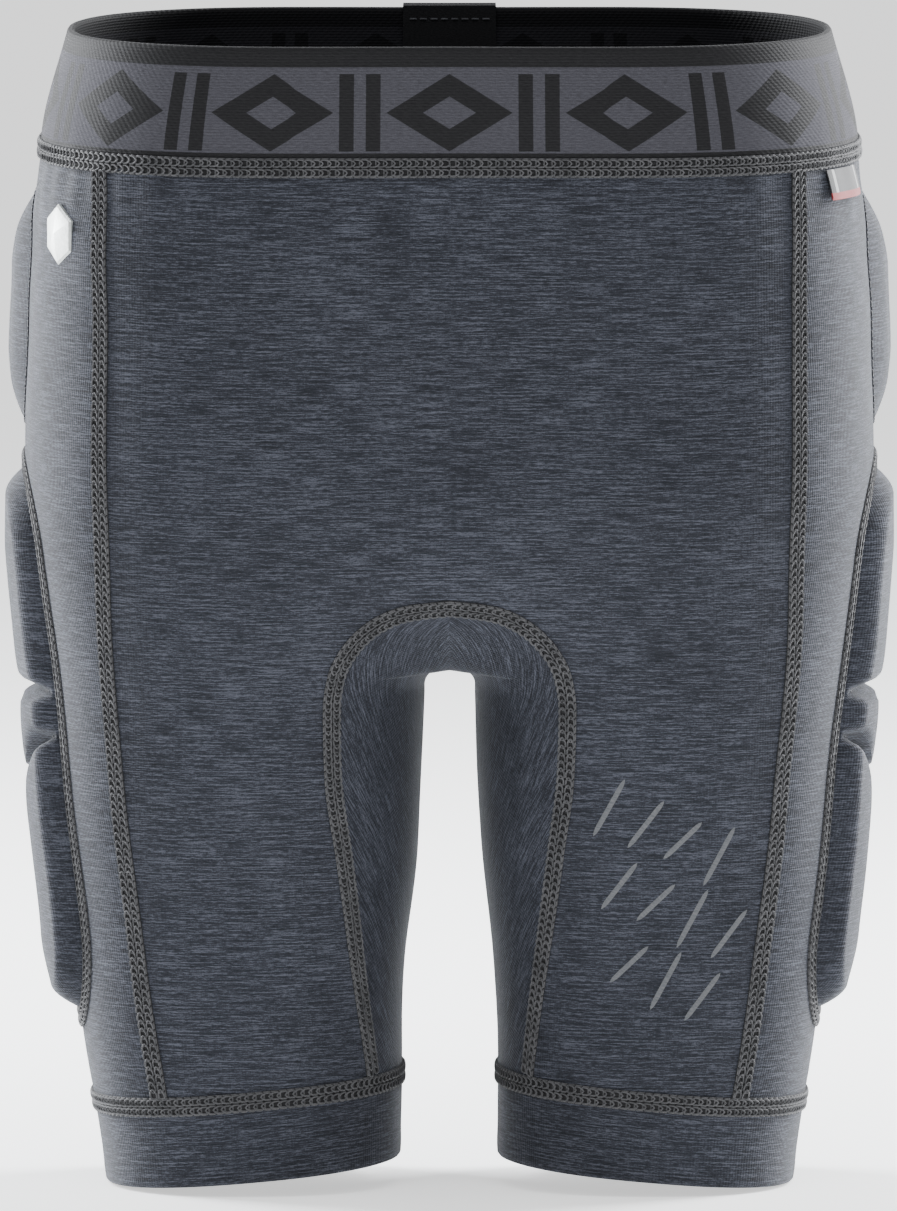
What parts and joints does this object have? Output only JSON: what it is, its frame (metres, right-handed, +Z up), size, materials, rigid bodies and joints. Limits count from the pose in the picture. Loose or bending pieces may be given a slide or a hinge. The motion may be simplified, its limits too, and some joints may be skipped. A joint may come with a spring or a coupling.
{
  "type": "padded impact shorts",
  "caption": "Stretch-knit impact shorts for snow sports with foam pads at the thighs, hips and tailbone, an elastic waistband and flatlock seams.",
  "frame": {"origin": "centre of the waist opening, at the top edge of the waistband", "axes": "+Z up along the wearer, -Y towards the wearer's front, +X towards the wearer's left"},
  "size_m": [0.2744, 0.1866, 0.3501],
  "materials": {
    "waist_elastic": "matte woven elastic with a raised geometric pattern",
    "black_tape": "matte black woven tape",
    "panel_fabric": "matte melange knit in slate blue and grey",
    "gusset_fabric": "matte melange knit, its ribs run across the panel",
    "cuff_fabric": "matte melange knit, folded",
    "cover_fabric": "matte stretch knit",
    "pad_foam": "soft closed foam",
    "seam_thread": "grey flatlock thread",
    "stitch_thread": "grey topstitching thread",
    "badge_film": "silver white moulded film",
    "woven_tag": "woven tag, grey with one red stripe",
    "reflective_film": "grey reflective transfer film"
  },
  "bodies": {
    "root": {"back_panel": "panel_fabric", "front_panel": "panel_fabric", "gusset": "gusset_fabric", "gusset_back_seam": "seam_thread", "gusset_front_seam": "seam_thread", "hip_badge": "badge_film", "left_back_seam": "seam_thread", "left_front_seam": "seam_thread", "left_hem_cuff": "cuff_fabric", "left_hem_seam": "seam_thread", "left_hip_pad": "pad_foam", "left_hip_pad_cover": "cover_fabric", "left_hip_pad_stitching": "stitch_thread", "left_side_panel": "panel_fabric", "left_thigh_groove_stitches": "stitch_thread", "left_thigh_pad_cover": "cover_fabric", "left_thigh_pad_lower": "pad_foam", "left_thigh_pad_middle": "pad_foam", "left_thigh_pad_seam": "seam_thread", "left_thigh_pad_upper": "pad_foam", "reflective_print": "reflective_film", "right_back_seam": "seam_thread", "right_front_seam": "seam_thread", "right_hem_cuff": "cuff_fabric", "right_hem_seam": "seam_thread", "right_hip_pad": "pad_foam", "right_hip_pad_cover": "cover_fabric", "right_hip_pad_stitching": "stitch_thread", "right_side_panel": "panel_fabric", "right_thigh_groove_stitches": "stitch_thread", "right_thigh_pad_cover": "cover_fabric", "right_thigh_pad_lower": "pad_foam", "right_thigh_pad_middle": "pad_foam", "right_thigh_pad_seam": "seam_thread", "right_thigh_pad_upper": "pad_foam", "side_tag": "woven_tag", "tail_pad": "pad_foam", "tail_pad_cover": "cover_fabric", "tail_pad_stitching": "stitch_thread", "waist_seam": "seam_thread", "waistband": "waist_elastic", "waistband_join_tab": "black_tape"}
  },
  "joints": []
}
